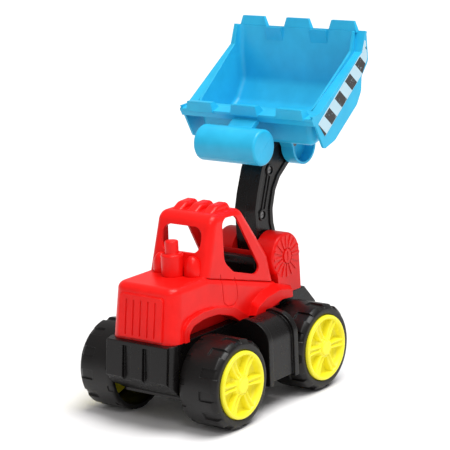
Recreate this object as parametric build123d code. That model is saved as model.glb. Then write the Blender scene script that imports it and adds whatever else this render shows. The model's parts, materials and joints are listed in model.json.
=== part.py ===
from build123d import *
import os
from math import cos, radians, sin

# Toy front-end loader, millimetres, +X forward, +Y left, +Z up.
# Every dimension below is measured from the middle of the wheelbase, on the ground.
# save() moves each piece by ORIGIN_X, so the origin lies on the ground under the middle
# of the whole length.

os.makedirs("parts", exist_ok=True)

# ---- whole vehicle ----
WHEELBASE = 144.0
REAR_END = -129.5            # rear face of the bumper
FRONT_END = 169.0            # outer face of the bucket's far skirt
ORIGIN_X = (REAR_END + FRONT_END) / 2
WALL = 2.5                   # moulded wall

# ---- wheels ----
AXLE_Z = 45.0
TYRE_R = 45.0                # over the lugs
TREAD_R = 43.6
TYRE_IN_Y = 42.5
TYRE_OUT_Y = 86.2
HUB_FACE_Y = 89.0
HUB_R = 33.9
LUGS = 12
LUG_LENGTH = 19.0
LUG_WIDTH = 13.0
AXLE_R = 2.5
BORE_GAP = 0.05              # radial clearance of each pin in its bore
HUB_DISH = 9.0               # depth of the wheel centre's recess
SLEEVE_R = 6.5
SLEEVE_GAP = 0.6             # from the wheel's inner face
SPOKES = 6
SPOKE_TURN = 3.0             # angle of the first spoke below +X

# ---- body ----
BODY_HALF = 40.5             # at the lower edge
BODY_TOP_HALF = 37.8         # at the bonnet
SILL_Z = 88.5                # lower edge of the red body
BONNET_Z = 143.0
COWL_Z = 113.0               # front foot of the cab
ROOF_Z = 201.0
GROOVE_DEPTH = 0.7
STACK_X = -64.0             # let into the cab's rear wall
CAB_HALF = 37.2
ROOF_HALF = 35.2

# ---- chassis ----
CHASSIS_HALF = 38.0
BELLY_Z = 30.0
PLATE = 3.0                  # belly plate
DECK_Z = 96.0                # deck under the turret
SCREW_PLACES = [(x, y) for x in (-45.0, 30.0) for y in (-26.0, 26.0)]
RECESS_Y = 12.5              # the bumper's two upright recesses
RECESS_HALF = 5.0
TANK_HALF_X = 25.0
TANK_OUT_Y = 83.4
TANK_TOP_Z = 94.0
BAND = 2.6                   # how far each end band stands out

# ---- boom and turret ----
LIFT = (78.0, 134.0)         # x, z of the lower pivot
TILT = (128.0, 243.0)        # x, z of the upper pivot
PIN_R = 3.0
BOOM_HALF = 13.0
CHEEK_IN_Y = 14.5
CHEEK_OUT_Y = 38.0
CHEEK_R = 24.5

# ---- bucket ----
RIM_HALF = 84.0
TUB_HALF = 75.5
TUB_FLOOR_HALF = 69.0
RIM_REAR = (78.0, 287.4)
RIM_KINK = (157.0, 339.0)
RIM_FRONT = (164.8, 359.8)
FORK_OUT_Y = 29.0
FORK_IN_Y = 14.0
FORK_R = 20.8
GRIP = (44.0, 255.0)         # x, z of the grip's axis
GRIP_R = 18.6
GRIP_HALF = 38.5
STEM_HALF = 15.0
PRINT = 0.25                 # printed film


def side_slab(points, y_min, y_max, radius=0.0):
    """A slab whose outline is drawn in X-Z and that runs from y_min to y_max."""
    corners = [(x, y_min, z) for x, z in points]
    outline = make_face(FilletPolyline(*corners, radius=radius, close=True))
    return extrude(outline, amount=y_max - y_min, dir=(0, 1, 0))


def front_slab(points, x_min, x_max, radius=0.0):
    """A slab whose outline is drawn in Y-Z and that runs from x_min to x_max."""
    corners = [(x_min, y, z) for y, z in points]
    outline = make_face(FilletPolyline(*corners, radius=radius, close=True))
    return extrude(outline, amount=x_max - x_min, dir=(1, 0, 0))


def block(x, y, z):
    """A box given by its (low, high) ranges."""
    size = (x[1] - x[0], y[1] - y[0], z[1] - z[0])
    return Pos((x[0] + x[1]) / 2, (y[0] + y[1]) / 2, (z[0] + z[1]) / 2) * Box(*size)


def rod(x, z, radius, y_min, y_max):
    """A cylinder along Y."""
    return Pos(x, (y_min + y_max) / 2, z) * Rot(90, 0, 0) * Cylinder(radius, y_max - y_min)


def both_sides(shape):
    return shape + mirror(shape, about=Plane.XZ)


def join(shapes):
    """Several separate solids as one piece."""
    whole = shapes[0]
    for shape in shapes[1:]:
        whole += shape
    return whole


def save(name, shape):
    export_step(Pos(-ORIGIN_X, 0, 0) * shape, f"parts/{name}.step")


# ---------------------------------------------------------------- wheels

def tyre():
    """Hollow tyre about the Y axis at the origin, open on its inner side."""
    width = TYRE_OUT_Y - TYRE_IN_Y
    side = 3.0
    profile = [
        (40.0, 0, 0), (42.2, 0, 0), (43.3, 4, 0), (TREAD_R, width / 2, 0),
        (43.3, width - 4, 0), (40.8, width, 0), (HUB_R + 0.1, width, 0),
        (HUB_R + 0.1, width - side, 0), (39.2, width - side, 0), (40.4, width - 6, 0),
    ]
    body = revolve(make_face(FilletPolyline(*profile, radius=0.0, close=True)), Axis.Y)
    lug_plan = block((TREAD_R - 3, TYRE_R + 1), (width - LUG_LENGTH, width - 1.5),
                     (-LUG_WIDTH / 2, LUG_WIDTH / 2))
    skin = rod(0, 0, TYRE_R, 0, width) - rod(0, 0, TREAD_R - 1.6, -1, width + 1)
    for number in range(LUGS):
        turn = 360 / LUGS * number
        body += (Rot(0, turn, 0) * lug_plan) & skin
    return body


def hub():
    """Dished wheel centre about the Y axis, its front face at the wheel's outer face."""
    face = HUB_FACE_Y - TYRE_IN_Y
    seat = TYRE_OUT_Y - TYRE_IN_Y - 3.0
    dish = face - HUB_DISH
    rim = rod(0, 0, HUB_R, seat, face) - rod(0, 0, 29.0, seat - 1, face + 1)
    rim = fillet(rim.edges().filter_by(GeomType.CIRCLE).filter_by(lambda e: e.center().Y > face - 1), 1.2)
    wheel = rim + rod(0, 0, 38.0, dish - 2.5, seat) - rod(0, 0, 29.0, dish, face)
    wheel += rod(0, 0, 11.0, dish - 1, face - 2.5)
    for number in range(SPOKES):
        spoke = block((9, 30.5), (dish - 1, face - 2.0), (-4.6, 4.6))
        groove = block((12, 27.5), (face - 4.6, face), (-1.0, 1.0))
        wheel += Rot(0, 360 / SPOKES * number + SPOKE_TURN, 0) * (spoke - groove)
    return wheel - rod(0, 0, AXLE_R + BORE_GAP, 0, face + 1)


def sleeve():
    """Spacer tube on the axle, between the chassis and the back of the wheel centre."""
    back = HUB_FACE_Y - TYRE_IN_Y - HUB_DISH - WALL
    return rod(0, 0, SLEEVE_R, SLEEVE_GAP, back) - rod(0, 0, AXLE_R + BORE_GAP, 0, back + 1)


def hub_cap():
    """Domed push-on cap that closes the axle's end."""
    face = HUB_FACE_Y - TYRE_IN_Y
    cap = rod(0, 0, 8.5, face - 2.5, face - 0.2)
    return fillet(cap.edges().filter_by(lambda e: e.center().Y > face - 1), 1.8)


def place_wheel(shape, x, left):
    """Moves a right or left wheel piece from the Y axis at the origin to its axle."""
    outward = Pos(x, TYRE_IN_Y, AXLE_Z) * shape
    return outward if left else mirror(outward, about=Plane.XZ)


def make_wheels():
    pieces = {"tyre": tyre(), "hub": hub(), "hub_cap": hub_cap(), "sleeve": sleeve()}
    for end, x in (("front", WHEELBASE / 2), ("rear", -WHEELBASE / 2)):
        for side in ("left", "right"):
            for name, shape in pieces.items():
                save(f"{name}_{end}_{side}", place_wheel(shape, x, side == "left"))
        reach = HUB_FACE_Y - 2.5
        save(f"axle_{end}", rod(x, AXLE_Z, AXLE_R, -reach, reach))


# ---------------------------------------------------------------- chassis

def chassis_outline(inset):
    return [
        (REAR_END + inset, 53), (-125.5 + inset, SILL_Z - inset), (57.5, SILL_Z - inset),
        (57.5, DECK_Z - inset), (107 - inset, DECK_Z - inset), (126 - inset, 76),
        (128 - inset, 58), (110, BELLY_Z + PLATE), (-104, BELLY_Z + PLATE), (-116 + inset, 40),
    ]


def chassis():
    """Inverted tub between the wheels, with the bumper, axle tubes and screw posts."""
    tub = side_slab(chassis_outline(0), -CHASSIS_HALF, CHASSIS_HALF)
    tub -= side_slab(chassis_outline(3.0), -CHASSIS_HALF + 3, CHASSIS_HALF - 3)
    bumper = side_slab([(REAR_END, 53), (-125.5, SILL_Z), (-112, SILL_Z), (-112, 40), (-116, 40)],
                       -41, 41)
    corners = bumper.edges().filter_by(lambda e: e.center().X < -124 and abs(e.center().Y) > 40)
    bumper = fillet(corners, 12)
    bumper -= block((-121, -111), (-38, 38), (30, SILL_Z - 3))
    tub += bumper
    for y in (RECESS_Y, -RECESS_Y):
        tub -= side_slab([(-135, 30), (-135, SILL_Z - 4), (-122.6, SILL_Z - 4), (-125.4, 44), (-120, 30)],
                         y - RECESS_HALF, y + RECESS_HALF)
    for x in (WHEELBASE / 2, -WHEELBASE / 2):
        tub += rod(x, AXLE_Z, 6.5, -TYRE_IN_Y + 0.4, TYRE_IN_Y - 0.4)
    for x, y in SCREW_PLACES:
        tub += Pos(x, y, 60) * Cylinder(4.0, 2 * (60 - BELLY_Z - PLATE))
    for x in (WHEELBASE / 2, -WHEELBASE / 2):
        tub -= rod(x, AXLE_Z, AXLE_R, -60, 60)
    for x, y in SCREW_PLACES:
        tub -= Pos(x, y, 45) * Cylinder(1.5, 32)
    return tub


def belly_plate():
    plate = block((-104, 110), (-CHASSIS_HALF, CHASSIS_HALF), (BELLY_Z, BELLY_Z + PLATE))
    plate = fillet(plate.edges().filter_by(Axis.Z), 4)
    for x, y in SCREW_PLACES:
        plate -= Pos(x, y, BELLY_Z) * Cylinder(1.8, 20)
        plate -= Pos(x, y, BELLY_Z) * Cylinder(3.4, 3.0)
    return plate


def belly_screws():
    """Four pan-head screws, sunk in the belly plate."""
    group = []
    for x, y in SCREW_PLACES:
        head = Pos(x, y, BELLY_Z + 0.9) * Cylinder(3.1, 1.2)
        shank = Pos(x, y, BELLY_Z + 7.5) * Cylinder(1.5, 13)
        slot = Pos(x, y, BELLY_Z + 0.3) * Box(4, 0.8, 0.8)
        group.append(head + shank - slot)
    return join(group)


def side_tank():
    """Left step box between the wheels, with a raised band at each end."""
    shoulder = 22.0
    top = TANK_TOP_Z

    def section(grow, x_min, x_max):
        outer = TANK_OUT_Y + grow
        points = [(CHASSIS_HALF, 32 - grow), (outer, 32 - grow), (outer, top + grow - 6),
                  (CHASSIS_HALF + 18, top + grow), (CHASSIS_HALF, SILL_Z - 4)]
        return front_slab(points, x_min, x_max, radius=[0, 0, shoulder, 10, 0])

    tank = section(0, -TANK_HALF_X + 1, TANK_HALF_X - 1)
    for x in (-TANK_HALF_X, TANK_HALF_X - 7):
        tank += section(BAND, x, x + 7)
    hollow = front_slab([(CHASSIS_HALF + 3, 35), (TANK_OUT_Y - 3, 35), (TANK_OUT_Y - 3, top - 9),
                         (CHASSIS_HALF + 18, top - 3), (CHASSIS_HALF + 3, SILL_Z - 8)],
                        -TANK_HALF_X + 3, TANK_HALF_X - 3, radius=[0, 0, shoulder - 3, 8, 0])
    return tank - hollow


# ---------------------------------------------------------------- body

def body_block(inset, floor):
    """Bonnet and side panels as one closed form, drawn in by the inset."""
    side = side_slab([
        (-118.6 + inset, floor), (-111.5 + inset, BONNET_Z - inset), (-56, BONNET_Z - inset),
        (56 - inset, COWL_Z - inset), (57.5 - inset, floor)], -60, 60)
    low = BODY_HALF - inset
    high = BODY_TOP_HALF - inset
    wedge = front_slab([(-low, floor), (low, floor), (high, BONNET_Z + 2), (-high, BONNET_Z + 2)],
                       -150, 100)
    form = side & wedge
    corners = form.edges().filter_by(
        lambda e: e.center().X < -105 and abs(e.center().Y) > 30 and e.length > 40)
    upright = [e for e in corners if abs((e @ 0).Z - (e @ 1).Z) > 30]
    form = fillet(upright, 14 - inset)
    crown = form.edges().filter_by(
        lambda e: e.center().Z > COWL_Z + 2 and e.center().X < 50 and abs(e.tangent_at(0.5).Z) < 0.5)
    rim = [e for e in crown if not (abs(e.tangent_at(0.5).Y) > 0.9 and e.center().X > -100)]
    return fillet(rim, 7.5 - inset)


REAR_ARCH = [(-97, 70), (-97, 96), (-90, 103), (-72, 106), (-50, 105), (-28, 98), (-7, 84), (-7, 70)]


def arch(grow, y_min, y_max):
    """The rear wheel arch's opening, widened all round by grow."""
    points = [(x + grow * (1 if x > -50 else -1) * (0.8 if z < 100 else 0.3), z + grow * (z > 75))
              for x, z in REAR_ARCH]
    return side_slab(points, y_min, y_max, radius=[0, 8, 8, 14, 14, 10, 0, 0])


def fender():
    """Right front mudguard: a thick flared lip over the wheel."""
    inner = [(6, -38.5, 88.6), (12, -38.5, 103), (30, -38.5, 110.5), (52, -38.5, 112.5),
             (81, -38.5, 103), (81, -38.5, 90.5), (60, -38.5, 92), (38, -38.5, 88.6)]
    outer = [(1, -52, 92), (6, -52, 99.5), (22, -52, 106), (45, -52, 108.6),
             (66, -52, 104.0), (66, -52, 96.0), (48, -52, 97.8), (20, -52, 92)]
    radii = [0, 8, 16, 12, 1.5, 1, 8, 0]
    faces = [make_face(FilletPolyline(*points, radius=radii, close=True)) for points in (inner, outer)]
    return loft(faces)


def door_grooves():
    """The shallow outline of a door on the right side panel."""
    outline = [(-35, 141), (-35, 112), (-28, 106.5), (-17, 106.5), (-11, 112), (-11, 133)]
    wide = side_slab(outline, -60, -30, radius=[0, 5, 3, 3, 5, 0])
    inner = [(-34, 145), (-34, 112.6), (-27.6, 107.5), (-17.4, 107.5), (-12, 112.6), (-12, 145)]
    narrow = side_slab(inner, -60, -30, radius=[0, 4, 2.4, 2.4, 4, 0])
    return wide - narrow - body_block(GROOVE_DEPTH, SILL_Z)


def body_shell():
    """Red body and cab in one moulding, with wheel wells, flared arch lips and front mudguards."""
    inside = body_block(WALL, SILL_Z - 5)
    inside -= arch(WALL, 25, 60) + arch(WALL, -60, -25)
    form = body_block(0, SILL_Z) - inside
    lip = arch(7.5, -44, -38.2) & block((-150, 20), (-60, 0), (SILL_Z + 0.5, 130))
    form += lip
    form += mirror(lip, about=Plane.XZ)
    form -= arch(0, 27.5, 60)
    form -= arch(0, -60, -27.5)
    guard = fender() - block((0, 57), (-38.6, 0), (80, 120))
    form += guard
    form += mirror(guard, about=Plane.XZ)
    form += cab()
    form -= door_grooves()
    form -= mirror(door_grooves(), about=Plane.XZ)
    return form - block((-49, 47), (-32, 32), (109.5, 150))


def rear_face(z):
    """The bonnet's rear face leans forward as it rises: its x at height z."""
    return -118.6 + (z - SILL_Z) * 7.1 / (BONNET_Z - SILL_Z)


def grille():
    """Raised grille panel on the rear of the bonnet, with five upright grooves."""
    foot, head = SILL_Z + 3, 134.0
    panel = side_slab([(rear_face(foot) - 2.4, foot), (rear_face(head) - 2.0, head),
                       (rear_face(head), head), (rear_face(foot), foot)], -27, 27)
    top = panel.edges().filter_by(lambda e: e.center().Z > 130 and abs(e.center().Y) > 26)
    panel = fillet(top, 4)
    for y in (-18, -9, 0, 9, 18):
        panel -= side_slab([(rear_face(94) - 4, 94), (rear_face(129) - 4, 129),
                            (rear_face(129) - 1, 129), (rear_face(94) - 1, 94)], y - 1, y + 1)
    return panel


def cab_form(inset, drop):
    """Cab as one closed form; its foot follows the falling shoulder of the body."""
    side = side_slab([
        (-58.5 + inset, BONNET_Z - drop), (-41.0 + inset, ROOF_Z - inset), (6.5 - inset, ROOF_Z - inset),
        (48.5 - inset, BONNET_Z + 1), (56 - inset, COWL_Z - drop)],
        -60, 60, radius=[0, 12 - inset, 16 - inset, 8, 0])
    low = CAB_HALF - inset
    high = ROOF_HALF - inset
    wedge = front_slab([(-low, 105), (low, 105), (high, ROOF_Z + 3), (-high, ROOF_Z + 3)], -100, 100)
    form = side & wedge
    long_edges = form.edges().filter_by(
        lambda e: abs(e.center().Y) > 30 and e.center().Z > BONNET_Z + 3 and e.center().X < 30)
    return fillet(long_edges, 8.0 - inset)


def cab():
    """Open cab: roof, rear wall and pillars, with the windows cut out."""
    shell = cab_form(0, 0) - cab_form(WALL, 4)
    side_window = side_slab([(-27, 196), (-4.5, 195), (34, 129), (20, 129), (-13, 139), (-27, 152)],
                            -60, 60, radius=[8, 9, 6, 5, 12, 14])
    rear_window = front_slab([(-24.5, 164), (24.5, 164), (24.5, 189.5), (-24.5, 189.5)], -80, -20, radius=10)
    screen = front_slab([(-29, 145), (29, 145), (27, 195), (-27, 195)], 0, 80, radius=6)
    shell -= side_window + rear_window + screen
    for y in (-19.5, 0, 19.5):
        ridge = side_slab([(-37, 198), (-20, 206.9), (-3, 207.6), (3.5, 198)], y - 6.5, y + 6.5,
                          radius=[0, 12, 6, 0])
        ridge = fillet(ridge.edges().filter_by(lambda e: e.center().Z > 200), 3.5)
        shell += ridge - cab_form(0.5, 0)
    return shell - body_block(0, SILL_Z)


def rear_humps():
    """Two rounded fairings beside the stack, low on the cab's rear wall."""
    group = []
    for y in (-19.5, 19.5):
        hump = Pos(-56, y, BONNET_Z + 2) * Rot(0, -6, 0) * scale(Sphere(10), (0.9, 0.95, 1.8))
        hump -= cab_form(0, 0)
        hump -= block((-100, 0), (-60, 60), (100, BONNET_Z))
        group.append(hump)
    return join(group)


def stack():
    """Stepped air-cleaner stack on the bonnet."""
    lower = Pos(STACK_X, 0, BONNET_Z + 11.2) * Cylinder(11.3, 22.4)
    lower = fillet(lower.edges().filter_by(lambda e: e.center().Z > BONNET_Z + 18), 2.5)
    upper = Pos(STACK_X, 0, BONNET_Z + 28.5) * Cylinder(6.8, 13.5)
    upper = fillet(upper.edges().filter_by(lambda e: e.center().Z > BONNET_Z + 33), 1.5)
    return lower + upper - cab_form(0, 0)


def cab_interior():
    """Black insert: floor pan, seat and dashboard."""
    pan = block((-46, 45), (-24, 24), (SILL_Z, SILL_Z + 12))
    seat = block((-30, -2), (-15, 15), (SILL_Z + 12, 122))
    back = side_slab([(-36, 118), (-42, 156), (-34, 158), (-26, 118)], -15, 15, radius=[0, 3, 3, 0])
    dash = side_slab([(31, SILL_Z + 12), (30, 136), (35, 141), (44.5, 141), (45, SILL_Z + 12)],
                     -31, 31, radius=[0, 4, 2, 1, 0])
    return pan + seat + back + block((-36, -26), (-15, 15), (SILL_Z + 12, 119)) + dash


# ---------------------------------------------------------------- turret

def cheek():
    """Right turret cheek: a hollow round-topped housing with a sunburst on its outer face."""
    x, z = LIFT[0] - 1.5, LIFT[1] + 1.5

    def form(inset, y_min, y_max, foot):
        outline = side_slab([
            (60.5 + inset, foot), (102.5 - inset, foot), (101 - inset, z), (52.4 + inset, z + 4),
            (57 + inset, z - 5), (60.5 + inset, COWL_Z)], y_min, y_max)
        return outline + rod(x, z, CHEEK_R - inset, y_min, y_max)

    shell = form(0, -CHEEK_OUT_Y, -CHEEK_IN_Y, DECK_Z)
    rim = shell.edges().filter_by(
        lambda e: e.center().Y < -CHEEK_OUT_Y + 0.1 and e.center().Z > z + 5)
    shell = fillet(rim, 3.0)
    shell -= form(WALL, -CHEEK_OUT_Y + WALL, -CHEEK_IN_Y - WALL, DECK_Z - 5)
    shell += rod(LIFT[0], LIFT[1], 7.0, -CHEEK_OUT_Y + 1, -CHEEK_IN_Y)
    face = -CHEEK_OUT_Y
    for number in range(16):
        rib = block((8.5, 22.0), (-0.9, 0.6), (-1.3, 1.3))
        shell += Pos(x, face, z) * Rot(0, 22.5 * number, 0) * rib
    boss = Pos(x, face, z) * Rot(90, 0, 0) * extrude(Ellipse(6.0, 7.5), amount=1.6, both=True)
    boss -= block((x - 0.9, x + 0.9), (face - 3, face - 0.7), (z - 5, z + 5))
    shell += boss
    shell -= cab_form(0, 0)
    return shell - rod(LIFT[0], LIFT[1], PIN_R + BORE_GAP, -CHEEK_OUT_Y + 3.5, -CHEEK_IN_Y + 1)


# ---------------------------------------------------------------- boom

BOOM_OUTLINE = [
    (62, 134), (59.8, 160), (58.6, 184), (63, 200), (73, 226), (88, 245), (108, 254),
    (133, 254.5), (141, 243), (133, 229.5), (119, 222), (104, 211), (95.5, 199), (89.5, 180), (90, 166),
    (94.5, 150), (94.5, 134),
]
BOOM_SCREWS = [(72.5, 177.0), (88.0, 221.5)]


def boom_form(inset, y_min, y_max):
    """Curved arm between the two pivots, rounded at both ends."""
    corners = [(x, y_min, z) for x, z in BOOM_OUTLINE]
    radii = [0, 30, 20, 30, 24, 20, 16, 10, 8, 10, 8, 12, 6, 12, 6, 12, 0]
    outline = make_face(FilletPolyline(*corners, radius=radii, close=True))
    if inset:
        outline = offset(outline, amount=-inset)
    form = extrude(outline, amount=y_max - y_min, dir=(0, 1, 0))
    for (x, z), radius in ((LIFT, 16.5), (TILT, 11.5)):
        form += rod(x, z, radius - inset, y_min, y_max)
    return form


def boom_half():
    """Right half of the boom: edge rails, a sunk web, screw bosses and pivot eyes."""
    half = boom_form(0, -BOOM_HALF, 0)
    half -= boom_form(5.0, -BOOM_HALF - 1, -BOOM_HALF + 1.4)
    half -= boom_form(3.0, -BOOM_HALF + 4.0, 1)
    bound = boom_form(0.4, -BOOM_HALF, 0)
    for x, z in BOOM_SCREWS:
        half += rod(x, z, 6.2, -BOOM_HALF, 0)
    for x, z in (LIFT, TILT):
        half += rod(x, z, 8.0, -BOOM_HALF, 0) & bound
    for x, z in (LIFT, TILT):
        half -= rod(x, z, PIN_R + BORE_GAP, -BOOM_HALF - 1, 1)
    for x, z in BOOM_SCREWS:
        half -= rod(x, z, 4.2, -BOOM_HALF - 1, -BOOM_HALF + 3)
        half -= rod(x, z, 1.7, -BOOM_HALF, 1)
    return half


def boom_screws():
    """Two pan-head screws that clamp the boom's halves."""
    group = []
    for x, z in BOOM_SCREWS:
        head = rod(x, z, 3.6, -BOOM_HALF + 1.4, -BOOM_HALF + 3)
        slot = block((x - 2.4, x + 2.4), (-BOOM_HALF + 1, -BOOM_HALF + 2), (z - 0.5, z + 0.5))
        group.append(head + rod(x, z, 1.6, -BOOM_HALF + 3, 8) - slot)
    return join(group)


# ---------------------------------------------------------------- bucket

def tub_form(inset):
    """The bucket's tub as a closed form: a rounded scoop whose sides draw in downwards."""
    outline = [
        (78 + inset, 287), (87 + inset, 249.5 + inset), (108, 255.5 + inset), (145, 279 + inset),
        (162 - inset, 301), (164 - inset, 359.5), (156, 360), (150, 340)]
    radii = [0, 7 - inset, 20, 16 - inset, 16 - inset, 0, 0, 0]
    if inset:
        outline[0] = (76 + inset, 295)
        outline[5] = (164.3 - inset, 368)
        outline[6] = (148, 372)
        outline[7] = (140, 346)
    slab = side_slab(outline, -100, 100, radius=radii)
    top = TUB_HALF - inset
    low = TUB_FLOOR_HALF - inset
    wedge = front_slab([(-low, 246), (low, 246), (top, 330), (top, 380), (-top, 380), (-top, 330)],
                       50, 200)
    form = slab & wedge
    hollows = form.edges().filter_by(
        lambda e: abs(e.center().Y) > 60 and e.center().Z < 300 and abs(e.tangent_at(0.5).Y) < 0.5)
    low_edges = [e for e in hollows if e.center().X > 80]
    return fillet(low_edges, 8 - inset)


def tooth(y, base, top, half, flare):
    """A bevelled tooth centred on y: base and top are (x, z, x, z) of its section."""
    faces = []
    for (x0, z0, x1, z1), wide in ((base, half + flare), (top, half)):
        corners = [(x0, y - wide, z0), (x1, y - wide, z1), (x1, y + wide, z1), (x0, y + wide, z0)]
        faces.append(make_face(FilletPolyline(*corners, radius=0.0, close=True)))
    return loft(faces)


def rim_flange():
    """Flat outward flange round the tub, following the rim's kinked line."""
    line = [(64, 283.6), RIM_REAR, RIM_KINK, RIM_FRONT, (RIM_FRONT[0] + 2.5, RIM_FRONT[1] - 0.5)]
    under = [(168, 356.8), (166.2, 357.2), (158.8, 337.4), (79.4, 284.8), (64.4, 280.8)]
    sheet = side_slab(line + under, -RIM_HALF, RIM_HALF)
    mouth = block((80.5, 161.6), (-TUB_HALF + WALL, TUB_HALF - WALL), (240, 400))
    return sheet - mouth


def skirts():
    """Turned-down edges of the rim: deep at the sides and front, shallow at the near lip."""
    outline = [(64.5, 286.5), RIM_REAR, RIM_KINK, RIM_FRONT, (167, 359), (FRONT_END, 330), (FRONT_END - 2, 326),
               (156, 314), (154.5, 299), (146, 286), (104, 256), (84, 250)]
    side = side_slab(outline, -RIM_HALF, -RIM_HALF + WALL, radius=[0, 0, 0, 0, 1, 2, 3, 5, 9, 10, 8, 4])
    far = side_slab([(167, 359), (FRONT_END, 330), (FRONT_END - WALL, 330), (167 - WALL, 357)],
                    -RIM_HALF, RIM_HALF)
    near = side_slab([(64, 283.6), (66.6, 283.6), (69.8, 276), (67.2, 276)], -RIM_HALF, RIM_HALF)
    return both_sides(side) + far + near


def fork():
    """Half-round housing under the tub; its two webs carry the tilt pin."""
    x, z = TILT

    def section(inset, y_half):
        r = FORK_R - inset
        legs = side_slab([(x - r, z), (x + r, z), (x + r + 4, 292), (x - r - 12, 292), (x - r - 12, 263)],
                         -y_half, y_half)
        return rod(x, z, r, -y_half, y_half) + legs

    solid = section(0, FORK_OUT_Y)
    web = solid & block((80, 180), (-FORK_IN_Y - 3, FORK_IN_Y + 3), (200, 300))
    shape = (solid - section(WALL, FORK_OUT_Y + 1)) + web
    shape -= block((80, 180), (-FORK_IN_Y, FORK_IN_Y), (200, 300))
    return shape - tub_form(0.6)


def bucket():
    """Tub, rim flange, skirts, toothed lips and the pivot fork, moulded in one."""
    shape = rim_flange() + tub_form(0) + skirts()
    for y in (57.0, 0, -57.0):
        shape += tooth(y, (62.6, 281.6, 75.5, 285.5), (61.5, 292.4, 69.5, 292.4), 15.0, 2.0)
        shape += tooth(y, (162.4, 357.5, 167.5, 358.6), (163.4, 369.4, 166.8, 369.4), 13.8, 4.0)
    shape -= tub_form(WALL)
    for y in (28.5, -28.5):
        shape += side_slab([(163.6, 359), (157.6, 359), (161.2, 344), (163.6, 344)], y - 10.5, y + 10.5)
    shape += fork()
    return shape - rod(TILT[0], TILT[1], PIN_R + BORE_GAP, -FORK_OUT_Y, FORK_OUT_Y)


def grip_halves(moulding):
    """Hollow grip split along a plane parallel to the bucket's rim, and the stem that holds it."""
    x, z = GRIP
    tube = rod(x, z, GRIP_R, -GRIP_HALF, GRIP_HALF)
    tube = fillet(tube.edges(), 3.0)
    tube -= rod(x, z, GRIP_R - WALL, -GRIP_HALF + WALL, GRIP_HALF - WALL)
    cutter = Pos(x, 0, z) * Rot(0, -39, 0) * Pos(0, 0, 50) * Box(100, 120, 100)
    upper = tube & cutter
    lower = tube - cutter
    stem = side_slab([(66.8, 279.6), (53.9, 270.8), (58.0, 267.3), (68.6, 274.4)], -STEM_HALF, STEM_HALF)
    stem -= rod(x, z, GRIP_R - 0.6, -60, 60)
    return upper + (stem - moulding), lower


def hazard_panel(side):
    """Thin printed strip on a bucket skirt, along the rim."""
    outline = [(74.5, 277.5), (152, 334.6), (157.6, 338), (162.6, 350.5), (165, 349.5), (167, 331),
               (157, 316.5), (86, 263)]
    panel = side_slab(outline, RIM_HALF, RIM_HALF + PRINT, radius=[1, 4, 3, 0.8, 1, 3, 3, 1])
    return panel if side == "left" else mirror(panel, about=Plane.XZ)


# ---------------------------------------------------------------- export

def main():
    make_wheels()
    save("chassis", chassis())
    save("belly_plate", belly_plate())
    save("belly_screws", belly_screws())
    tank = side_tank() - mirror(fender(), about=Plane.XZ)
    save("side_tank_left", tank)
    save("side_tank_right", mirror(tank, about=Plane.XZ))
    save("body_shell", body_shell())
    save("grille", grille())
    save("rear_humps", rear_humps())
    save("stack", stack())
    save("cab_interior", cab_interior())
    right_cheek = cheek()
    save("turret_cheek_right", right_cheek)
    save("turret_cheek_left", mirror(right_cheek, about=Plane.XZ))
    reach = CHEEK_OUT_Y - 3.5
    save("lift_pin", rod(LIFT[0], LIFT[1], PIN_R, -reach, reach))
    right_half = boom_half()
    save("boom_half_right", right_half)
    save("boom_half_left", mirror(right_half, about=Plane.XZ))
    save("boom_screws", boom_screws())
    scoop = bucket()
    save("bucket", scoop)
    save("tilt_pin", rod(TILT[0], TILT[1], PIN_R, -FORK_IN_Y - 3, FORK_IN_Y + 3))
    upper, lower = grip_halves(scoop)
    save("grip_upper", upper)
    save("grip_lower", lower)
    for side in ("left", "right"):
        save(f"hazard_panel_{side}", hazard_panel(side))


main()
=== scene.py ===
# %% [markdown]
# # A toy wheel loader, dressed around its moulded frame
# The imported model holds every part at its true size, and it never moves. This lesson loads it, keeps the
# size of its box, and then gives each part its finish: red, blue, yellow and black plastic, a printed film,
# and steel. Some parts with simple edges, and the parts that repeat a shape, get a better mesh of their
# own.

# %% Load the frame
import json
from math import atan2, cos, pi, radians, sin

import bmesh
import bpy
from mathutils import Matrix, Vector

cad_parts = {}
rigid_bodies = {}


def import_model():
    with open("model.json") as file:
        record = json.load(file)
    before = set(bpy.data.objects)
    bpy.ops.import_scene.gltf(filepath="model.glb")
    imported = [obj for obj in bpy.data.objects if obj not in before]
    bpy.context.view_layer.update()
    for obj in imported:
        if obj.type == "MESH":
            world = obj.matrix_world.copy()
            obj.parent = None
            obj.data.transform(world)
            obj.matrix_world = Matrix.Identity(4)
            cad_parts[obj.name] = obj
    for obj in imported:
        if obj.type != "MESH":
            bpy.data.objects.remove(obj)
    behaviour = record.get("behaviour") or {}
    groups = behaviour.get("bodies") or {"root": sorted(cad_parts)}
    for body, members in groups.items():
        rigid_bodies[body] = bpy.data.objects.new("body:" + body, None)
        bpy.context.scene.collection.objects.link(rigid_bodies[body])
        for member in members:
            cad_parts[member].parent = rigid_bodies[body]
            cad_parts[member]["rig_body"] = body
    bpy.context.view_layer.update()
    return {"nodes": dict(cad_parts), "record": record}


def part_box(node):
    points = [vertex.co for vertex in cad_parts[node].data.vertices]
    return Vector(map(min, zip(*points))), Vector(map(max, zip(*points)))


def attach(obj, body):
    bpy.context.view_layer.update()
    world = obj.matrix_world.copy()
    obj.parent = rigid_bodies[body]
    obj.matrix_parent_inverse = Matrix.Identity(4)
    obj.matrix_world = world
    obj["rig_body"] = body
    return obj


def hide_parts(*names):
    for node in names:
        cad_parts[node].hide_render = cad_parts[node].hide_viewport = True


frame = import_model()
MM = 0.001
nodes = frame["nodes"]
body_of = {name: obj["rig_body"] for name, obj in nodes.items()}

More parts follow.
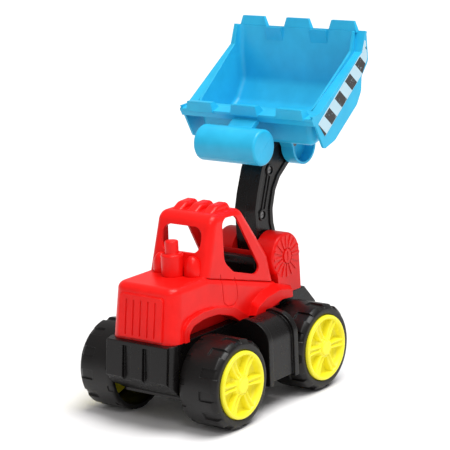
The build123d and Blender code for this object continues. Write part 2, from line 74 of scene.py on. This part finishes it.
# %% [markdown]
# Every place below is measured from the middle of the wheelbase, on the ground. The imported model's origin
# lies under the middle of the whole length instead, so one number, read from the two axles, takes a drawing
# place to a model place.

# %% Places on the drawing
front_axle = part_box("axle_front")
rear_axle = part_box("axle_rear")
AXLE_Z = (front_axle[0].z + front_axle[1].z) / 2
FRONT_X = (front_axle[0].x + front_axle[1].x) / 2
REAR_X = (rear_axle[0].x + rear_axle[1].x) / 2
SHIFT = (FRONT_X + REAR_X) / 2


def place(x, y, z):
    """A point given in millimetres from the middle of the wheelbase, in metres in the model's frame."""
    return Vector((x * MM + SHIFT, y * MM, z * MM))


print(f"axle height {AXLE_Z / MM:.1f} mm, wheelbase {(FRONT_X - REAR_X) / MM:.1f} mm")

# %% [markdown]
# A finish is a small calculation on a point of the surface. Writing it with node links alone is slow to
# read, so this class wraps a node's output and lets Python's own signs add the Math nodes: 1 - mask works
# as it looks.

# %% Shader arithmetic


class Value:
    """One number that varies over a surface, ready for Python arithmetic."""

    def __init__(self, shader, socket):
        self.shader = shader
        self.socket = socket

    def math(self, operation, first, second=None):
        inputs = {0: first} if second is None else {0: first, 1: second}
        return self.shader.node("ShaderNodeMath", {"operation": operation}, inputs)

    def __add__(self, other):
        return self.math("ADD", self, other)

    def __radd__(self, other):
        return self.math("ADD", other, self)

    def __sub__(self, other):
        return self.math("SUBTRACT", self, other)

    def __rsub__(self, other):
        return self.math("SUBTRACT", other, self)

    def __mul__(self, other):
        return self.math("MULTIPLY", self, other)

    def __rmul__(self, other):
        return self.math("MULTIPLY", other, self)

    def __truediv__(self, other):
        return self.math("DIVIDE", self, other)

    def __rtruediv__(self, other):
        return self.math("DIVIDE", other, self)

    def __gt__(self, other):
        return self.math("GREATER_THAN", self, other)

    def __lt__(self, other):
        return self.math("LESS_THAN", self, other)

    def part(self):
        """What is left after the whole number is taken away."""
        return self.math("FRACT", self)

    def size(self):
        return self.math("ABSOLUTE", self)


class Finish:
    """A material on the principled shader, built from plain calls."""

    def __init__(self, name):
        self.material = bpy.data.materials.new(name)
        self.material.use_nodes = True
        self.tree = self.material.node_tree
        self.surface = self.tree.nodes["Principled BSDF"]
        texture = self.tree.nodes.new("ShaderNodeTexCoord")
        self.point = Value(self, texture.outputs["Object"])

    def node(self, kind, settings=None, inputs=None, output=0):
        """Adds any node: first its settings, then the values or links of its sockets."""
        made = self.tree.nodes.new(kind)
        for key, value in (settings or {}).items():
            if key == "stops":
                for index, (position, colour) in enumerate(value):
                    ramp = made.color_ramp.elements
                    stop = ramp[index] if index < len(ramp) else ramp.new(position)
                    stop.position = position
                    stop.color = colour
            else:
                setattr(made, key, value)
        for key, value in (inputs or {}).items():
            self.feed(made.inputs[key], value)
        return Value(self, made.outputs[output])

    def feed(self, socket, value):
        if isinstance(value, Value):
            self.tree.links.new(value.socket, socket)
        else:
            socket.default_value = value

    def set(self, **values):
        """Sets the shader's own sockets, whose names are written with underscores."""
        for key, value in values.items():
            self.feed(self.surface.inputs[key.replace("_", " ")], value)

    def noise(self, scale, detail=2.0, stretch=(1, 1, 1)):
        """Smooth noise from 0 to 1, with scale counted in grains per metre."""
        where = self.point
        if stretch != (1, 1, 1):
            where = self.node("ShaderNodeMapping", {}, {"Vector": self.point, "Scale": stretch})
        return self.node("ShaderNodeTexNoise", {}, {"Vector": where, "Scale": scale, "Detail": detail})

    def blend(self, share, low, high):
        """Goes from the colour low to the colour high as share goes from 0 to 1."""
        return self.node("ShaderNodeMix", {"data_type": "RGBA"}, {0: share, 6: low, 7: high}, 2)

    def ramp(self, value, low, high):
        """Takes value's range from low to high to the range from 0 to 1."""
        return self.node("ShaderNodeMapRange", {}, {"Value": value, "From Min": low, "From Max": high})

    def bump(self, height, strength, distance, under=None):
        """Small relief from height, on top of the relief under it if there is one."""
        inputs = {"Height": height, "Strength": strength, "Distance": distance}
        if under is not None:
            inputs["Normal"] = under
        return self.node("ShaderNodeBump", {}, inputs)

    def axes(self):
        """The surface point's own x, y and z, in metres."""
        split = self.tree.nodes.new("ShaderNodeSeparateXYZ")
        self.tree.links.new(self.point.socket, split.inputs[0])
        return [Value(self, output) for output in split.outputs]


print("shader arithmetic ready")

# %% [markdown]
# Cheap moulded plastic is never one even colour or one even gloss. The melt flows and cools unevenly, so
# broad reflections wobble slightly; the mould's polish leaves a fine grain; and handling leaves hairline
# scuffs that show only in the gloss. One function makes all of that, and each plastic chooses its colour,
# gloss and grain. It also rounds sharp edges in the shading alone, because most parts keep their packed
# meshes, whose edges are sharp. Noise sizes count grains in a metre, and depths are in metres.

# %% Moulded plastic
FLOW_SIZE, CLOUD_SIZE, SKIN_SIZE, SCUFF_SIZE = 16.0, 70.0, 2600.0, 9.0
SCUFF_LINES = (420.0, 60.0, 90.0)
SCUFF_FROM, SCUFF_FULL = 0.60, 0.74
FLOW_DEPTH, SKIN_DEPTH = 0.004, 0.0002
EDGE_ROUND, EDGE_RAYS = 0.0007, 6
PLASTIC_IOR = 1.49


def moulded(name, colour, deep, gloss, grain=0.06, waviness=0.10, scuffs=0.10, shine=0.40):
    """A moulded plastic: colour and its deeper shade, with roughness around gloss."""
    look = Finish(name)
    flow = look.noise(FLOW_SIZE, 3.0)
    cloud = look.noise(CLOUD_SIZE, 4.0)
    fine = look.noise(SKIN_SIZE, 2.0)
    hair = look.noise(SCUFF_SIZE, 5.0, SCUFF_LINES)
    scuff = look.ramp(hair, SCUFF_FROM, SCUFF_FULL)
    shade = look.ramp(flow * 0.6 + cloud * 0.4, 0.35, 0.65)
    look.set(Base_Color=look.blend(shade, (*deep, 1), (*colour, 1)))
    look.set(Roughness=gloss + (cloud - 0.5) * 0.10 + scuff * scuffs)
    corner = look.node("ShaderNodeBevel", {"samples": EDGE_RAYS}, {"Radius": EDGE_ROUND})
    wave = look.bump(flow, waviness, FLOW_DEPTH, corner)
    skin = look.bump(fine, grain, SKIN_DEPTH, wave)
    look.set(Normal=skin, IOR=PLASTIC_IOR, Specular_IOR_Level=shine)
    return look.material


RED = moulded("red moulded plastic", (0.86, 0.009, 0.007), (0.74, 0.005, 0.004), 0.30, shine=0.24)
BLUE = moulded("sky blue moulded plastic", (0.026, 0.50, 0.80), (0.018, 0.42, 0.70), 0.34, shine=0.32)
YELLOW = moulded("yellow moulded plastic", (0.94, 0.86, 0.035), (0.86, 0.76, 0.020), 0.34)
BLACK = moulded(
    "black moulded plastic", (0.0060, 0.0052, 0.0052), (0.003, 0.0026, 0.0026), 0.28,
    grain=0.12, scuffs=0.2, shine=0.28)
TYRE = moulded(
    "black tyre plastic", (0.0065, 0.0055, 0.0052), (0.0035, 0.003, 0.003), 0.34,
    grain=0.25, scuffs=0.25, shine=0.30)
print("plastics:", [m.name for m in (RED, BLUE, YELLOW, BLACK, TYRE)])

# %% [markdown]
# The screws, pins and axles are dull plated steel. A noise stretched along the Y axis, the way the axles
# and pins lie, gives the brushed streaks, and the roughness follows it.

# %% Plated steel


def plated_steel():
    look = Finish("plated steel")
    streak = look.noise(700.0, 3.0, (1.0, 0.08, 1.0))
    stain = look.noise(120.0, 3.0)
    look.set(Base_Color=look.blend(stain, (0.13, 0.13, 0.135, 1), (0.24, 0.235, 0.23, 1)))
    look.set(Roughness=0.20 + streak * 0.25, Metallic=1.0)
    look.set(Normal=look.bump(streak, 0.15, 0.0002))
    return look.material


STEEL = plated_steel()
print("metal:", STEEL.name)

# %% [markdown]
# Each side skirt of the bucket carries a printed strip: black slanted blocks on a silvery blue film. The
# film's pale blue is partly its own colour and partly a painted sheen, made lighter to stand in for the
# film's glare. The blocks follow the rim, so the pattern is worked out from how far along the strip a point
# lies and how far across, both taken from the point's own x and z.

# %% Hazard print
STRIP_SLOPE = atan2(3, 4)
BLOCK_PITCH = 24.3 * MM
BLOCK_LENGTH = 11.8 * MM
BLOCK_HALF = 8.3 * MM
BLOCK_SKEW = 0.22
FIRST_BLOCK = place(96.8, 0, 282.0)


def hazard_print():
    look = Finish("hazard print")
    x, _, z = look.axes()
    from_x = x - FIRST_BLOCK.x
    from_z = z - FIRST_BLOCK.z
    along = from_x * cos(STRIP_SLOPE) + from_z * sin(STRIP_SLOPE)
    across = from_z * cos(STRIP_SLOPE) - from_x * sin(STRIP_SLOPE)
    step = (along + across * BLOCK_SKEW) / BLOCK_PITCH + BLOCK_LENGTH / BLOCK_PITCH / 2
    block = (step.part() < BLOCK_LENGTH / BLOCK_PITCH) * (across.size() < BLOCK_HALF)
    worn = look.ramp(look.noise(420.0, 4.0), 0.63, 0.72)
    ink = block * (1 - worn * 0.45)
    # The film's blue is partly its own colour and partly a painted sheen: it is lighter to stand in for the
    # film's glare.
    film_and_sheen = look.blend(look.noise(60.0, 3.0), (0.40, 0.62, 0.74, 1), (0.52, 0.72, 0.81, 1))
    look.set(Base_Color=look.blend(ink, film_and_sheen, (0.012, 0.012, 0.013, 1)))
    look.set(Roughness=0.30 + ink * 0.08 + worn * 0.15)
    look.set(Normal=look.bump(look.noise(30.0, 2.0), 0.06, 0.001))
    return look.material


HAZARD = hazard_print()
print("print:", HAZARD.name, "with blocks", round(BLOCK_PITCH / MM, 1), "mm apart")

# %% [markdown]
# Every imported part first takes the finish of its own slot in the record. Later cells hide the parts that
# get a better mesh, and their stand-ins take the same finish.

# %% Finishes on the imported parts
FINISHES = {
    "red_plastic": RED, "blue_plastic": BLUE, "yellow_plastic": YELLOW, "black_plastic": BLACK,
    "tyre_plastic": TYRE, "steel": STEEL, "hazard_print": HAZARD,
}
slot_of = {part["node"]: part["material_slot"] for part in frame["record"]["subparts"]}


def paint(obj, finish):
    obj.data.materials.clear()
    obj.data.materials.append(finish)


for name, obj in nodes.items():
    paint(obj, FINISHES[slot_of[name]])
print("painted", len(nodes), "parts")

# %% [markdown]
# A moulded part has no knife edges: the mould's own corners are rounded by a fraction of a millimetre, and
# those tiny rounds catch the light as thin bright lines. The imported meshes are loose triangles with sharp
# corners. This helper makes a stand-in: it joins the triangles, melts the flat ones together, and rounds
# each sharp edge by as much as its neighbours leave room for. Weighted normals then keep the flat faces
# flat. Only parts with simple edges take it. On the bucket, body shell, cheeks and grille it left dark
# marks, and on the boom the rounded bores cut the pin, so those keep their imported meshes.

# %% Rounded stand-ins
SHARP = radians(30)
BEND = radians(30)
FLAT = radians(0.6)
JOIN = 0.00001
ROOM = 0.40
LEAST = 0.35
ROUND_STEPS = 2


def keep(obj, node):
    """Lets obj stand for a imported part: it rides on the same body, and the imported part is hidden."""
    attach(obj, body_of[node])
    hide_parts(node)
    return obj


def new_piece(name, mesh_data, finish):
    obj = bpy.data.objects.new(name, mesh_data)
    bpy.context.scene.collection.objects.link(obj)
    paint(obj, finish)
    return obj


def baked(obj):
    """Applies the modifiers of obj and leaves one plain mesh."""
    graph = bpy.context.evaluated_depsgraph_get()
    graph.update()
    finished = bpy.data.meshes.new_from_object(obj.evaluated_get(graph), depsgraph=graph)
    obj.modifiers.clear()
    obj.data = finished
    return obj


def clean_copy(node):
    """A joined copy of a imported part's mesh, with its flat triangles melted together."""
    work = bmesh.new()
    work.from_mesh(nodes[node].data)
    bmesh.ops.remove_doubles(work, verts=work.verts, dist=JOIN)
    bmesh.ops.dissolve_limit(work, angle_limit=FLAT, verts=work.verts, edges=work.edges)
    return work


def turn_at(vert, first, second):
    """How much the line bends where two edges meet at vert."""
    arriving = vert.co - first.other_vert(vert).co
    leaving = second.other_vert(vert).co - vert.co
    return arriving.angle(leaving, 0)


def edge_room(work, sharp):
    """For each sharp edge, how far it may be cut back before it meets another edge."""
    marked = set(sharp)
    reach = {}
    for vert in {v for e in sharp for v in e.verts}:
        around = [e.calc_length() for e in vert.link_edges if e not in marked]
        joined = [e for e in vert.link_edges if e in marked]
        if len(joined) != 2 or turn_at(vert, *joined) > BEND:
            around += [e.calc_length() for e in joined]
        reach[vert] = ROOM * min(around) if around else 1.0
    return {e: min(reach[e.verts[0]], reach[e.verts[1]]) for e in sharp}


def soften(node, width, finish):
    """Stand-in for a moulded part, with its sharp edges rounded by width."""
    work = clean_copy(node)
    weight = work.edges.layers.float.new("bevel_weight_edge")
    sharp = [e for e in work.edges if len(e.link_faces) == 2 and e.calc_face_angle(0) > SHARP]
    room = edge_room(work, sharp)
    for edge in sharp:
        share = min(1.0, room[edge] / width)
        edge[weight] = share if share > LEAST else 0.0
    data = bpy.data.meshes.new(node + "_moulded")
    work.to_mesh(data)
    work.free()
    piece = new_piece(node + "_moulded", data, finish)
    bevel = piece.modifiers.new("rounded edges", "BEVEL")
    bevel.limit_method = "WEIGHT"
    bevel.width = width
    bevel.segments = ROUND_STEPS
    bevel.use_clamp_overlap = False
    baked(piece)
    for face in piece.data.polygons:
        face.use_smooth = True
    weighted = piece.modifiers.new("flat faces stay flat", "WEIGHTED_NORMAL")
    weighted.keep_sharp = False
    weighted.weight = 100
    return keep(baked(piece), node)


ROUNDED = {
    "chassis": (0.6, BLACK), "side_tank_left": (0.6, BLACK), "side_tank_right": (0.6, BLACK),
    "grip_upper": (0.3, BLUE), "grip_lower": (0.3, BLUE), "stack": (0.4, RED), "cab_interior": (0.8, BLACK),
}
for node, (width, finish) in ROUNDED.items():
    piece = soften(node, width * MM, finish)
    print(f"{piece.name}: {len(piece.data.polygons)} faces")

# %% [markdown]
# Two shapes repeat round an axle: the tread pockets of a tyre and the spokes of a wheel centre. Along the
# boom a rib stands twice, side by side. Geometry Nodes copy one shape for each. The first tree turns copies
# about the Y axis; the second sets copies in a row. Both end by making the copies real, because the
# finished part is one plain mesh.

# %% Trees that copy a shape


def start_tree(name, inputs):
    tree = bpy.data.node_groups.new(name, "GeometryNodeTree")
    for label, kind, value in inputs:
        socket = tree.interface.new_socket(label, in_out="INPUT", socket_type=kind)
        if value is not None:
            socket.default_value = value
    tree.interface.new_socket("Geometry", in_out="OUTPUT", socket_type="NodeSocketGeometry")
    return tree


def end_tree(tree, given, points, rotation=None):
    """Sets the given shape on the points, makes the copies real and gives them their material."""
    wire = tree.links.new
    copies = tree.nodes.new("GeometryNodeInstanceOnPoints")
    wire(points, copies.inputs["Points"])
    wire(given.outputs["Shape"], copies.inputs["Instance"])
    if rotation is not None:
        wire(rotation, copies.inputs["Rotation"])
    real = tree.nodes.new("GeometryNodeRealizeInstances")
    wire(copies.outputs["Instances"], real.inputs["Geometry"])
    coated = tree.nodes.new("GeometryNodeSetMaterial")
    wire(real.outputs["Geometry"], coated.inputs["Geometry"])
    wire(given.outputs["Material"], coated.inputs["Material"])
    result = tree.nodes.new("NodeGroupOutput")
    wire(coated.outputs["Geometry"], result.inputs["Geometry"])
    return tree


def ring_tree():
    """Copies of the given shape, turned evenly about the Y axis."""
    tree = start_tree("copies round an axle", [
        ("Shape", "NodeSocketGeometry", None), ("Count", "NodeSocketInt", 6),
        ("First Angle", "NodeSocketFloat", 0.0), ("Material", "NodeSocketMaterial", None)])
    wire = tree.links.new
    given = tree.nodes.new("NodeGroupInput")
    points = tree.nodes.new("GeometryNodePoints")
    wire(given.outputs["Count"], points.inputs["Count"])
    step = tree.nodes.new("ShaderNodeMath")
    step.operation = "DIVIDE"
    step.inputs[0].default_value = 2 * pi
    wire(given.outputs["Count"], step.inputs[1])
    angle = tree.nodes.new("ShaderNodeMath")
    angle.operation = "MULTIPLY_ADD"
    index = tree.nodes.new("GeometryNodeInputIndex")
    wire(index.outputs[0], angle.inputs[0])
    wire(step.outputs[0], angle.inputs[1])
    wire(given.outputs["First Angle"], angle.inputs[2])
    turn = tree.nodes.new("ShaderNodeCombineXYZ")
    wire(angle.outputs[0], turn.inputs["Y"])
    return end_tree(tree, given, points.outputs[0], turn.outputs[0])


def row_tree():
    """Copies of the given shape, each one step further along an offset."""
    tree = start_tree("copies in a row", [
        ("Shape", "NodeSocketGeometry", None), ("Count", "NodeSocketInt", 2),
        ("Offset", "NodeSocketVector", None), ("Material", "NodeSocketMaterial", None)])
    wire = tree.links.new
    given = tree.nodes.new("NodeGroupInput")
    line = tree.nodes.new("GeometryNodeMeshLine")
    line.mode = "OFFSET"
    wire(given.outputs["Count"], line.inputs["Count"])
    wire(given.outputs["Offset"], line.inputs["Offset"])
    return end_tree(tree, given, line.outputs[0])


def copied(obj, tree, finish, **inputs):
    """Runs obj's mesh through a tree of copies and leaves one plain mesh."""
    modifier = obj.modifiers.new("copies", "NODES")
    modifier.node_group = tree
    wanted = {key.replace("_", " "): value for key, value in inputs.items()}
    wanted["Material"] = finish
    for socket in tree.interface.items_tree:
        if socket.in_out == "INPUT" and socket.name in wanted:
            modifier[socket.identifier] = wanted[socket.name]
    return baked(obj)


RING = ring_tree()
ROW = row_tree()
print("trees:", RING.name, "and", ROW.name)

# %% [markdown]
# A wheel is the same at all four corners, and a right one is a left one mirrored. Each piece is drawn about
# the Y axis, with depths counted from the wheel's inner face outwards. This cell reads the wheel's place
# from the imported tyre, and turns lists of rings into closed meshes.

# %% Wheel places and ring meshes
WELD = 0.00002
CREASE = radians(40)
WHEELS = [(end, side) for end in ("front", "rear") for side in ("left", "right")]


def wheel_place(end, side):
    """The axle's x, the y of the wheel's inner face, and +1 or -1 for the way outwards."""
    low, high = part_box(f"tyre_{end}_{side}")
    outwards = 1 if side == "left" else -1
    inner_face = low.y if side == "left" else high.y
    return (low.x + high.x) / 2, inner_face, outwards


def grid_mesh(name, rings, closed_turn=False):
    """A mesh from closed rings of points, each ring joined to the next."""
    work = bmesh.new()
    rows = [[work.verts.new(p) for p in ring] for ring in rings]
    count = len(rows[0])
    joins = len(rows) if closed_turn else len(rows) - 1
    for i in range(joins):
        here, there = rows[i], rows[(i + 1) % len(rows)]
        for j in range(count):
            work.faces.new((here[j], here[(j + 1) % count], there[(j + 1) % count], there[j]))
    data = bpy.data.meshes.new(name)
    work.to_mesh(data)
    work.free()
    return data


def close_ends(data):
    """Fills the open ends of a bar and turns its faces outwards."""
    work = bmesh.new()
    work.from_mesh(data)
    bmesh.ops.holes_fill(work, edges=[e for e in work.edges if e.is_boundary])
    bmesh.ops.recalc_face_normals(work, faces=work.faces)
    work.to_mesh(data)
    work.free()
    return data


def set_on_axle(obj, end, side):
    """Moves a wheel piece from the Y axis to its axle, welds it and turns its faces outwards."""
    x, y, outwards = wheel_place(end, side)
    work = bmesh.new()
    work.from_mesh(obj.data)
    for vert in work.verts:
        vert.co = Vector((vert.co.x + x, vert.co.y * outwards + y, vert.co.z + AXLE_Z))
    bmesh.ops.remove_doubles(work, verts=work.verts, dist=WELD)
    bmesh.ops.recalc_face_normals(work, faces=work.faces)
    for face in work.faces:
        face.smooth = True
    for edge in work.edges:
        edge.smooth = edge.calc_face_angle(0) < CREASE
    work.to_mesh(obj.data)
    work.free()
    return obj


print("wheels at", [f"{end} {side}" for end, side in WHEELS])

# %% [markdown]
# The tyres are hollow and moulded in hard black plastic. Their tread is a plain drum; what looks like lugs
# is the drum's own surface left standing between twelve pockets sunk into its outer shoulder, with twelve
# smaller ones between them on the inner shoulder. So the tyre is one twelfth of a turn, drawn as a closed
# section swept through thirty degrees and sunk where a pocket is, and then copied round. Each row of the
# section gives depth from the inner face, radius, and how far the outer and the inner pockets sink it, in
# millimetres. The pockets' half widths and walls are in degrees.

# %% Tyres
TREAD = [
    (0.0, 40.0, 0, 0), (0.0, 42.6, 0, 0), (0.5, 43.9, 0, 0.6), (1.5, 44.7, 0, 1.0), (3.2, 45.0, 0, 1.0),
    (6.6, 45.0, 0, 1.0), (7.0, 45.0, 0, 0), (7.6, 45.0, 0, 0), (15.0, 45.0, 0, 0), (24.0, 45.0, 0, 0),
    (24.6, 45.0, 0, 0), (25.2, 45.0, 1.5, 0), (30.0, 45.0, 1.7, 0), (38.2, 45.0, 2.0, 0),
    (39.4, 44.75, 2.0, 0), (40.1, 44.3, 1.9, 0), (41.9, 42.5, 1.1, 0), (42.5, 41.8, 0.6, 0),
    (43.3, 40.9, 0, 0), (43.65, 39.8, 0, 0), (43.7, 38.0, 0, 0), (43.5, 35.6, 0, 0), (43.1, 34.6, 0, 0),
    (42.4, 34.1, 0, 0), (40.7, 34.1, 0, 0), (40.7, 38.6, 0, 0), (39.6, 39.2, 0, 0), (30.0, 39.6, 0, 0),
    (15.0, 39.8, 0, 0),
]
POCKETS = 12
OUTER_POCKET, INNER_POCKET, POCKET_WALL = 6.0, 3.6, 0.55
FIRST_POCKET = radians(-2.3)


def tread_angles():
    """Angles across one twelfth of a turn, closest together where a pocket's wall stands."""
    half = 180 / POCKETS
    edge = half - INNER_POCKET
    between = (OUTER_POCKET + edge) / 2 + 0.3
    marks = [
        0, OUTER_POCKET / 3, OUTER_POCKET * 2 / 3, OUTER_POCKET, OUTER_POCKET + POCKET_WALL, between,
        edge - POCKET_WALL, edge, half - INNER_POCKET / 2, half,
    ]
    return sorted({-m for m in marks} | set(marks))


def tread_sector():
    """The tyre's section at each angle, sunk where a pocket lies."""
    rings = []
    for degree in tread_angles():
        outer = 1 if abs(degree) <= OUTER_POCKET else 0
        inner = 1 if abs(degree) >= 180 / POCKETS - INNER_POCKET else 0
        ring = []
        for depth, radius, sink, small_sink in TREAD:
            r = (radius - sink * outer - small_sink * inner) * MM
            ring.append((r * cos(radians(degree)), depth * MM, r * sin(radians(degree))))
        rings.append(ring)
    return rings


def add_tyre(end, side):
    name = f"tyre_{end}_{side}"
    tyre = new_piece(name + "_tread", grid_mesh(name + "_tread", tread_sector()), TYRE)
    copied(tyre, RING, TYRE, Count=POCKETS, First_Angle=FIRST_POCKET)
    keep(set_on_axle(tyre, end, side), name)
    return tyre


for end, side in WHEELS:
    tyre = add_tyre(end, side)
print(f"four tyres, {len(tyre.data.polygons)} faces each")

# %% [markdown]
# The wheel centre is a dished yellow moulding: a rounded rim, a sloping wall down to a flat floor, and a
# flat boss in the middle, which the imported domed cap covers. Six spokes cross the dish, each a pair of
# rounded ridges with a groove between them. The dish is swept round from its section, and one spoke is
# drawn as cross-sections along its length and copied round. A section's rows give depth and radius, and a
# spoke's rows give the share of its half width and the drop from its top, in millimetres.

# %% Wheel centres
DISH = [
    (38.0, 38.0), (40.5, 38.0), (40.6, 33.9), (44.6, 33.9), (45.6, 33.6), (46.2, 33.0), (46.45, 32.1),
    (46.4, 31.2), (46.0, 30.4), (45.2, 29.8), (41.0, 28.7), (38.9, 28.0), (38.0, 26.8), (37.7, 25.0),
    (37.7, 14.6), (38.2, 13.0), (39.6, 11.9), (43.0, 11.0), (44.2, 10.2), (44.6, 9.0), (44.6, 2.55),
    (35.2, 2.55), (35.2, 37.0), (36.0, 37.9),
]
TURN_STEPS = 96
SPOKES = 6
FIRST_SPOKE = radians(3)
SPOKE_FROM, SPOKE_TO = 9.4, 30.4
SPOKE_ROWS = 15
BOSS_END_HALF, RIM_END_GAIN = 3.4, 1.5
SPOKE_TOP, SPOKE_SAG, SPOKE_RISE = 45.0, 1.0, 0.6
SPOKE_FOOT, FOOT_SPREAD = 37.0, 1.12
SPOKE_HALF = [
    (0.0, 2.2), (0.16, 2.1), (0.28, 1.5), (0.40, 0.5), (0.50, 0.12), (0.62, 0.0), (0.74, 0.1), (0.86, 0.45),
    (0.95, 1.2), (1.0, 2.6),
]
SPOKE_RIDGES = [(-a, d) for a, d in reversed(SPOKE_HALF[1:])] + SPOKE_HALF


def dish_rings():
    """The dish's section at each step of a full turn."""
    rings = []
    for step in range(TURN_STEPS):
        angle = 2 * pi * step / TURN_STEPS
        rings.append([(r * MM * cos(angle), depth * MM, r * MM * sin(angle)) for depth, r in DISH])
    return rings


def spoke_section(along):
    """One cross-section of a spoke: two rounded ridges and a groove, wider towards the rim."""
    share = (along - SPOKE_FROM) / (SPOKE_TO - SPOKE_FROM)
    half = BOSS_END_HALF + RIM_END_GAIN * share
    top = SPOKE_TOP - SPOKE_SAG * sin(pi * share) + SPOKE_RISE * share
    points = []
    for across, drop in SPOKE_RIDGES:
        points.append((along * MM, (top - drop) * MM, across * half * MM))
    for way in (1, -1):
        points.append((along * MM, SPOKE_FOOT * MM, way * half * FOOT_SPREAD * MM))
    return points


def spoke_mesh(name):
    length = SPOKE_TO - SPOKE_FROM
    rows = [SPOKE_FROM + length * step / (SPOKE_ROWS - 1) for step in range(SPOKE_ROWS)]
    return close_ends(grid_mesh(name, [spoke_section(along) for along in rows]))


def add_wheel_centre(end, side):
    name = f"hub_{end}_{side}"
    dish = new_piece(name + "_dish", grid_mesh(name + "_dish", dish_rings(), closed_turn=True), YELLOW)
    keep(set_on_axle(dish, end, side), name)
    spokes = new_piece(name + "_spokes", spoke_mesh(name + "_spokes"), YELLOW)
    copied(spokes, RING, YELLOW, Count=SPOKES, First_Angle=FIRST_SPOKE)
    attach(set_on_axle(spokes, end, side), body_of[name])
    return len(dish.data.polygons) + len(spokes.data.polygons)


for end, side in WHEELS:
    faces = add_wheel_centre(end, side)
print(f"four wheel centres, {faces} faces each")

# %% [markdown]
# Two low ribs run along each side of the boom, from one screw boss to the next, and leave a channel between
# them. One rib is drawn as a bar with a rounded back, and the second tree sets its copy beside it.

# %% Ribs on the boom
LOWER_BOSS = place(72.5, 0, 177)
UPPER_BOSS = place(88, 0, 221.5)
BOSS_R = 6.0 * MM
RIB_INTO_BOSS = 1.2 * MM
WEB_Y = 11.55 * MM
RIB_HALF = 1.15 * MM
RIB_HEIGHT = 1.2 * MM
RIB_APART = 5.2 * MM
RIB_BACK = [(-1, 0), (-0.92, 0.55), (-0.6, 0.92), (0, 1), (0.6, 0.92), (0.92, 0.55), (1, 0)]


def rib_mesh(name, outwards):
    """A bar between the screw bosses, standing on the boom's web, and the step to the rib beside it."""
    run = UPPER_BOSS - LOWER_BOSS
    along = run.normalized()
    across = Vector((along.z, 0, -along.x))
    rings = []
    for distance in (BOSS_R - RIB_INTO_BOSS, run.length - BOSS_R + RIB_INTO_BOSS):
        middle = LOWER_BOSS + along * distance - across * RIB_APART / 2
        ring = []
        for side, height in RIB_BACK:
            y = outwards * (WEB_Y + RIB_HEIGHT * height)
            ring.append(middle + across * side * RIB_HALF + Vector((0, y, 0)))
        rings.append(ring)
    return close_ends(grid_mesh(name, rings)), across * RIB_APART


for side, outwards in (("left", 1), ("right", -1)):
    data, beside = rib_mesh(f"boom_ribs_{side}", outwards)
    ribs = new_piece(f"boom_ribs_{side}", data, BLACK)
    copied(ribs, ROW, BLACK, Count=2, Offset=beside)
    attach(ribs, body_of[f"boom_half_{side}"])
print("ribs set", round(RIB_APART / MM, 1), "mm apart on both sides of the boom")

# %% [markdown]
# The room around a small product is a pale sheet under soft light: one very wide light from high on the
# toy's right, a small lamp high beyond its right rear corner for highlights, and an even surround, so that
# shadows stay faint and soft.

# %% Floor, lamps and camera


def soft_lamp(name, where, aim, size, power):
    lamp = bpy.data.lights.new(name, "AREA")
    lamp.shape = "DISK"
    lamp.size = size
    lamp.energy = power
    obj = bpy.data.objects.new(name, lamp)
    obj.location = where
    obj.rotation_euler = (Vector(aim) - Vector(where)).to_track_quat("-Z", "Y").to_euler()
    bpy.context.scene.collection.objects.link(obj)


def pale_floor():
    """A sheet of pale paper, far wider than the toy."""
    look = Finish("pale paper")
    look.set(Base_Color=look.blend(look.noise(3.0, 2.0), (0.86, 0.85, 0.85, 1), (0.88, 0.87, 0.87, 1)))
    look.set(Roughness=0.75 + look.noise(40.0, 3.0) * 0.1)
    work = bmesh.new()
    bmesh.ops.create_grid(work, x_segments=8, y_segments=8, size=6.0)
    data = bpy.data.meshes.new("paper_floor")
    work.to_mesh(data)
    work.free()
    new_piece("paper_floor", data, look.material)


def surround(strength):
    world = bpy.data.worlds.new("bright surround")
    world.use_nodes = True
    background = world.node_tree.nodes["Background"]
    background.inputs["Color"].default_value = (1.0, 0.985, 0.98, 1)
    background.inputs["Strength"].default_value = strength
    bpy.context.scene.world = world


def sky_light(strength, elevation, azimuth, spread):
    """An even light from one side of the sky; the wider its spread, the softer its shadows."""
    lamp = bpy.data.lights.new("sky_light", "SUN")
    lamp.energy = strength
    lamp.angle = radians(spread)
    obj = bpy.data.objects.new("sky_light", lamp)
    e, a = radians(elevation), radians(azimuth)
    towards = Vector((sin(a) * cos(e), -cos(a) * cos(e), sin(e)))
    obj.rotation_euler = towards.to_track_quat("Z", "Y").to_euler()
    bpy.context.scene.collection.objects.link(obj)


pale_floor()
surround(strength=0.42)
sky_light(strength=3.2, elevation=73, azimuth=6, spread=42)
soft_lamp("highlight", where=(-0.9, -0.75, 1.1), aim=(0, 0, 0.15), size=0.35, power=3.0)
print("lights:", [light.name for light in bpy.data.lights])

# %% [markdown]
# The camera stands behind the toy's right rear corner, a little above the bonnet, a long way off with a
# long lens, and leans by a couple of degrees. Its place is given along its own three directions.

# %% Camera
AZIMUTH = radians(-52.54)
ELEVATION = radians(13.19)
ROLL = radians(-2.37)
AIM = place(0, 0, 45)
DISTANCE, RIGHTWARD, UPWARD = 2.0282, 0.0091, 0.1316
SENSOR, LENS, FAR = 36, 158.2, 50


def add_camera():
    back = Vector((sin(AZIMUTH) * cos(ELEVATION), -cos(AZIMUTH) * cos(ELEVATION), sin(ELEVATION)))
    level = Vector((cos(AZIMUTH), sin(AZIMUTH), 0))
    upright = back.cross(level)
    right = level * cos(ROLL) + upright * sin(ROLL)
    up = upright * cos(ROLL) - level * sin(ROLL)
    data = bpy.data.cameras.new("camera")
    data.sensor_width = SENSOR
    data.lens = LENS
    data.clip_end = FAR
    obj = bpy.data.objects.new("camera", data)
    turn = Matrix((right, up, back)).transposed().to_4x4()
    turn.translation = AIM + back * DISTANCE + right * RIGHTWARD + up * UPWARD
    obj.matrix_world = turn
    bpy.context.scene.collection.objects.link(obj)
    bpy.context.scene.camera = obj


add_camera()
bpy.context.scene.view_settings.view_transform = "Standard"
print("camera at", [round(x, 3) for x in bpy.context.scene.camera.matrix_world.translation])
